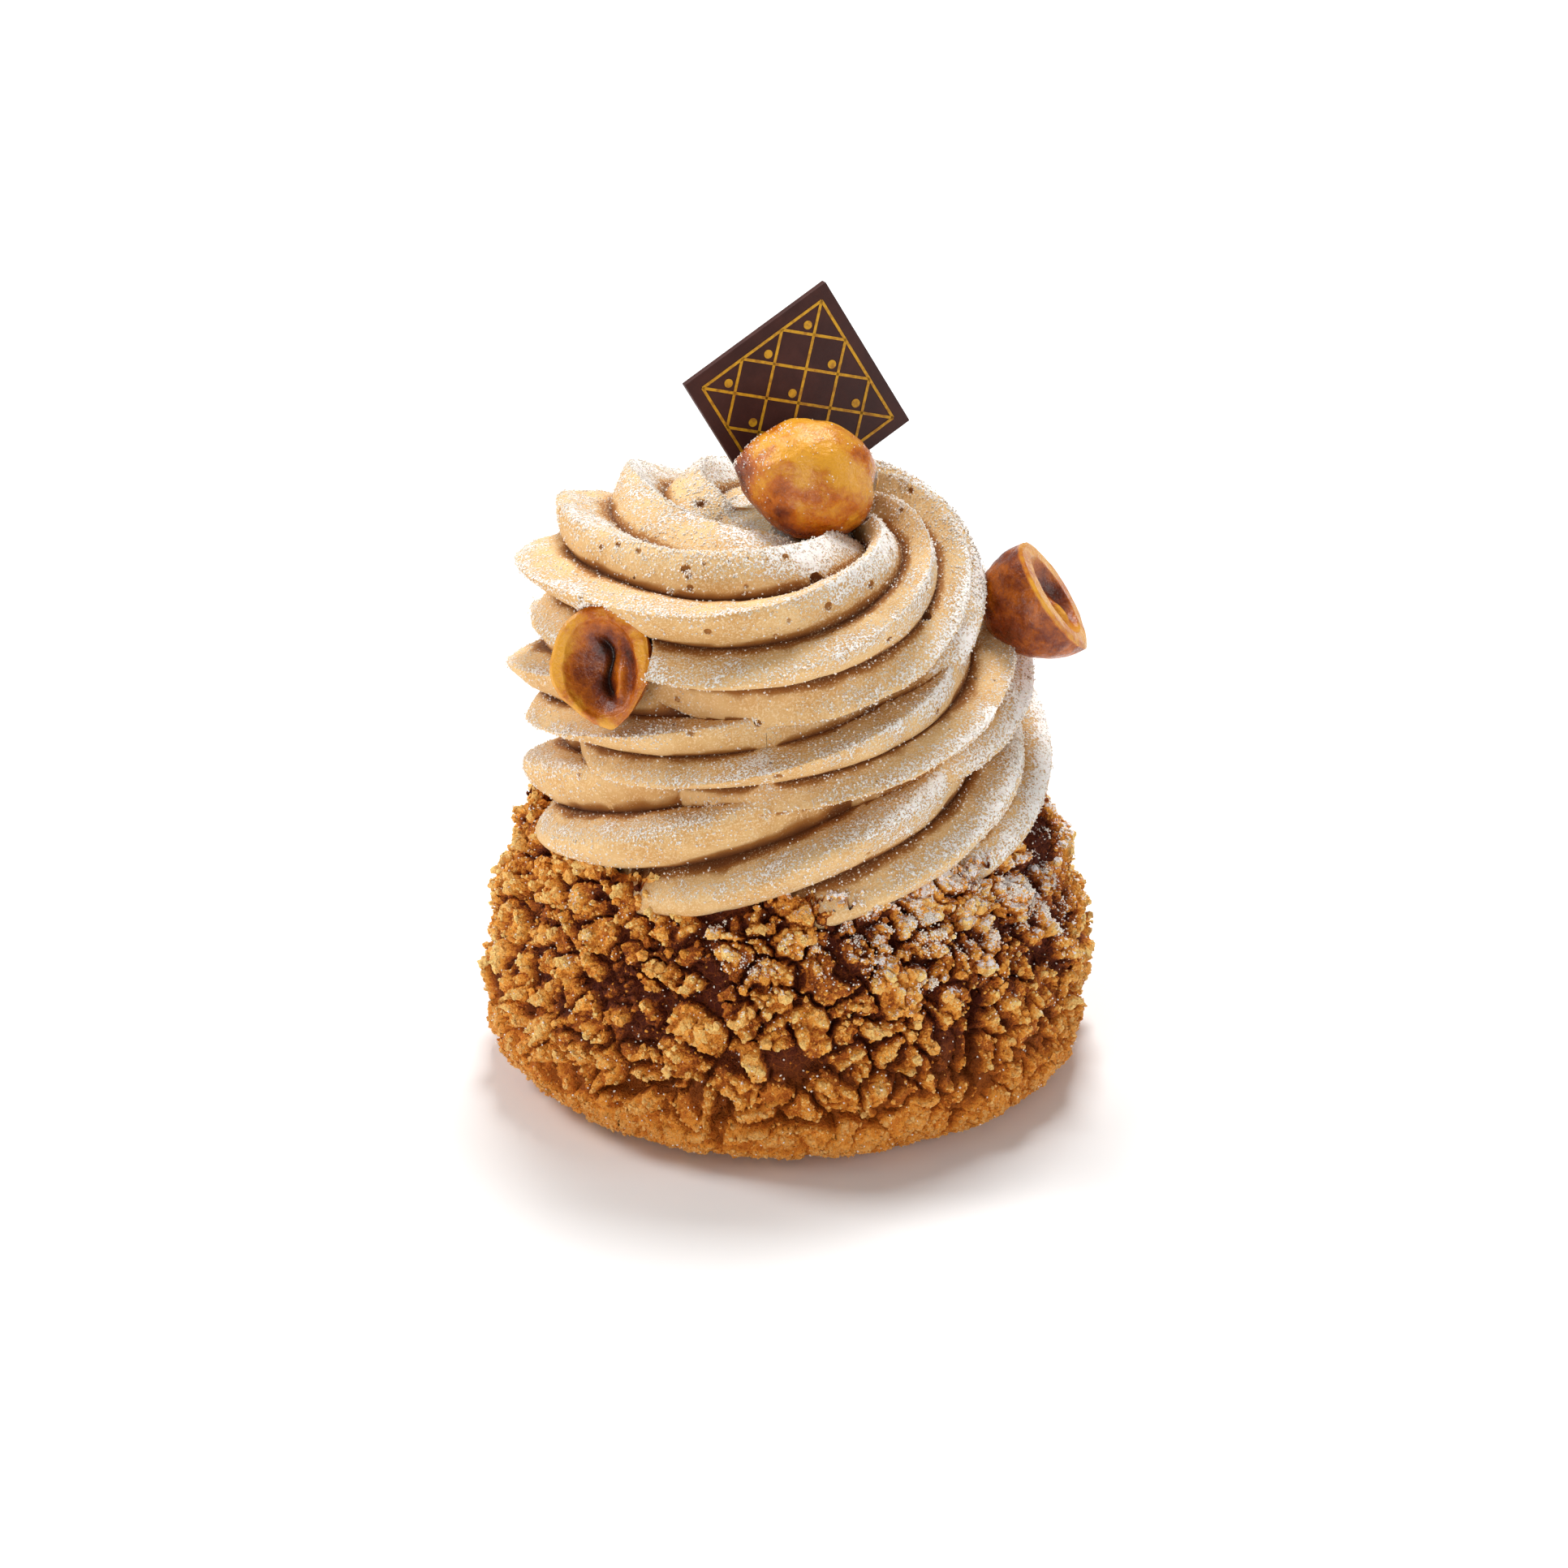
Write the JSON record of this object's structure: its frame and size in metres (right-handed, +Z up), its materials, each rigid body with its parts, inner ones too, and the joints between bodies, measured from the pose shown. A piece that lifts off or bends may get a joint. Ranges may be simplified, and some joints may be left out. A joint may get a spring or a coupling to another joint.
{
  "type": "paris-brest",
  "caption": "Round choux bun with a crackled crumble crust, opened on top and piped with a tall star swirl of praline cream, topped with hazelnuts and a thin dark chocolate square.",
  "frame": {"origin": "middle of the bun's flat foot", "axes": "+Z up, -Y towards the front, +X to the right as seen from the front"},
  "size_m": [0.0695, 0.069, 0.0902],
  "materials": {
    "crust": "matt baked crumble crust, golden brown with dark crevices",
    "cream": "soft matt piped praline cream, beige",
    "hazelnut": "glossy caramelised nut, amber and brown",
    "chocolate": "smooth dark chocolate, satin",
    "gold_ink": "dull gold printed lines",
    "sugar": "dry white icing sugar"
  },
  "bodies": {
    "root": {"bun": "crust", "cream": "cream", "hazelnut_whole": "hazelnut", "hazelnut_half_left": "hazelnut", "hazelnut_half_right": "hazelnut", "chocolate_plaque": "chocolate"}
  },
  "joints": []
}
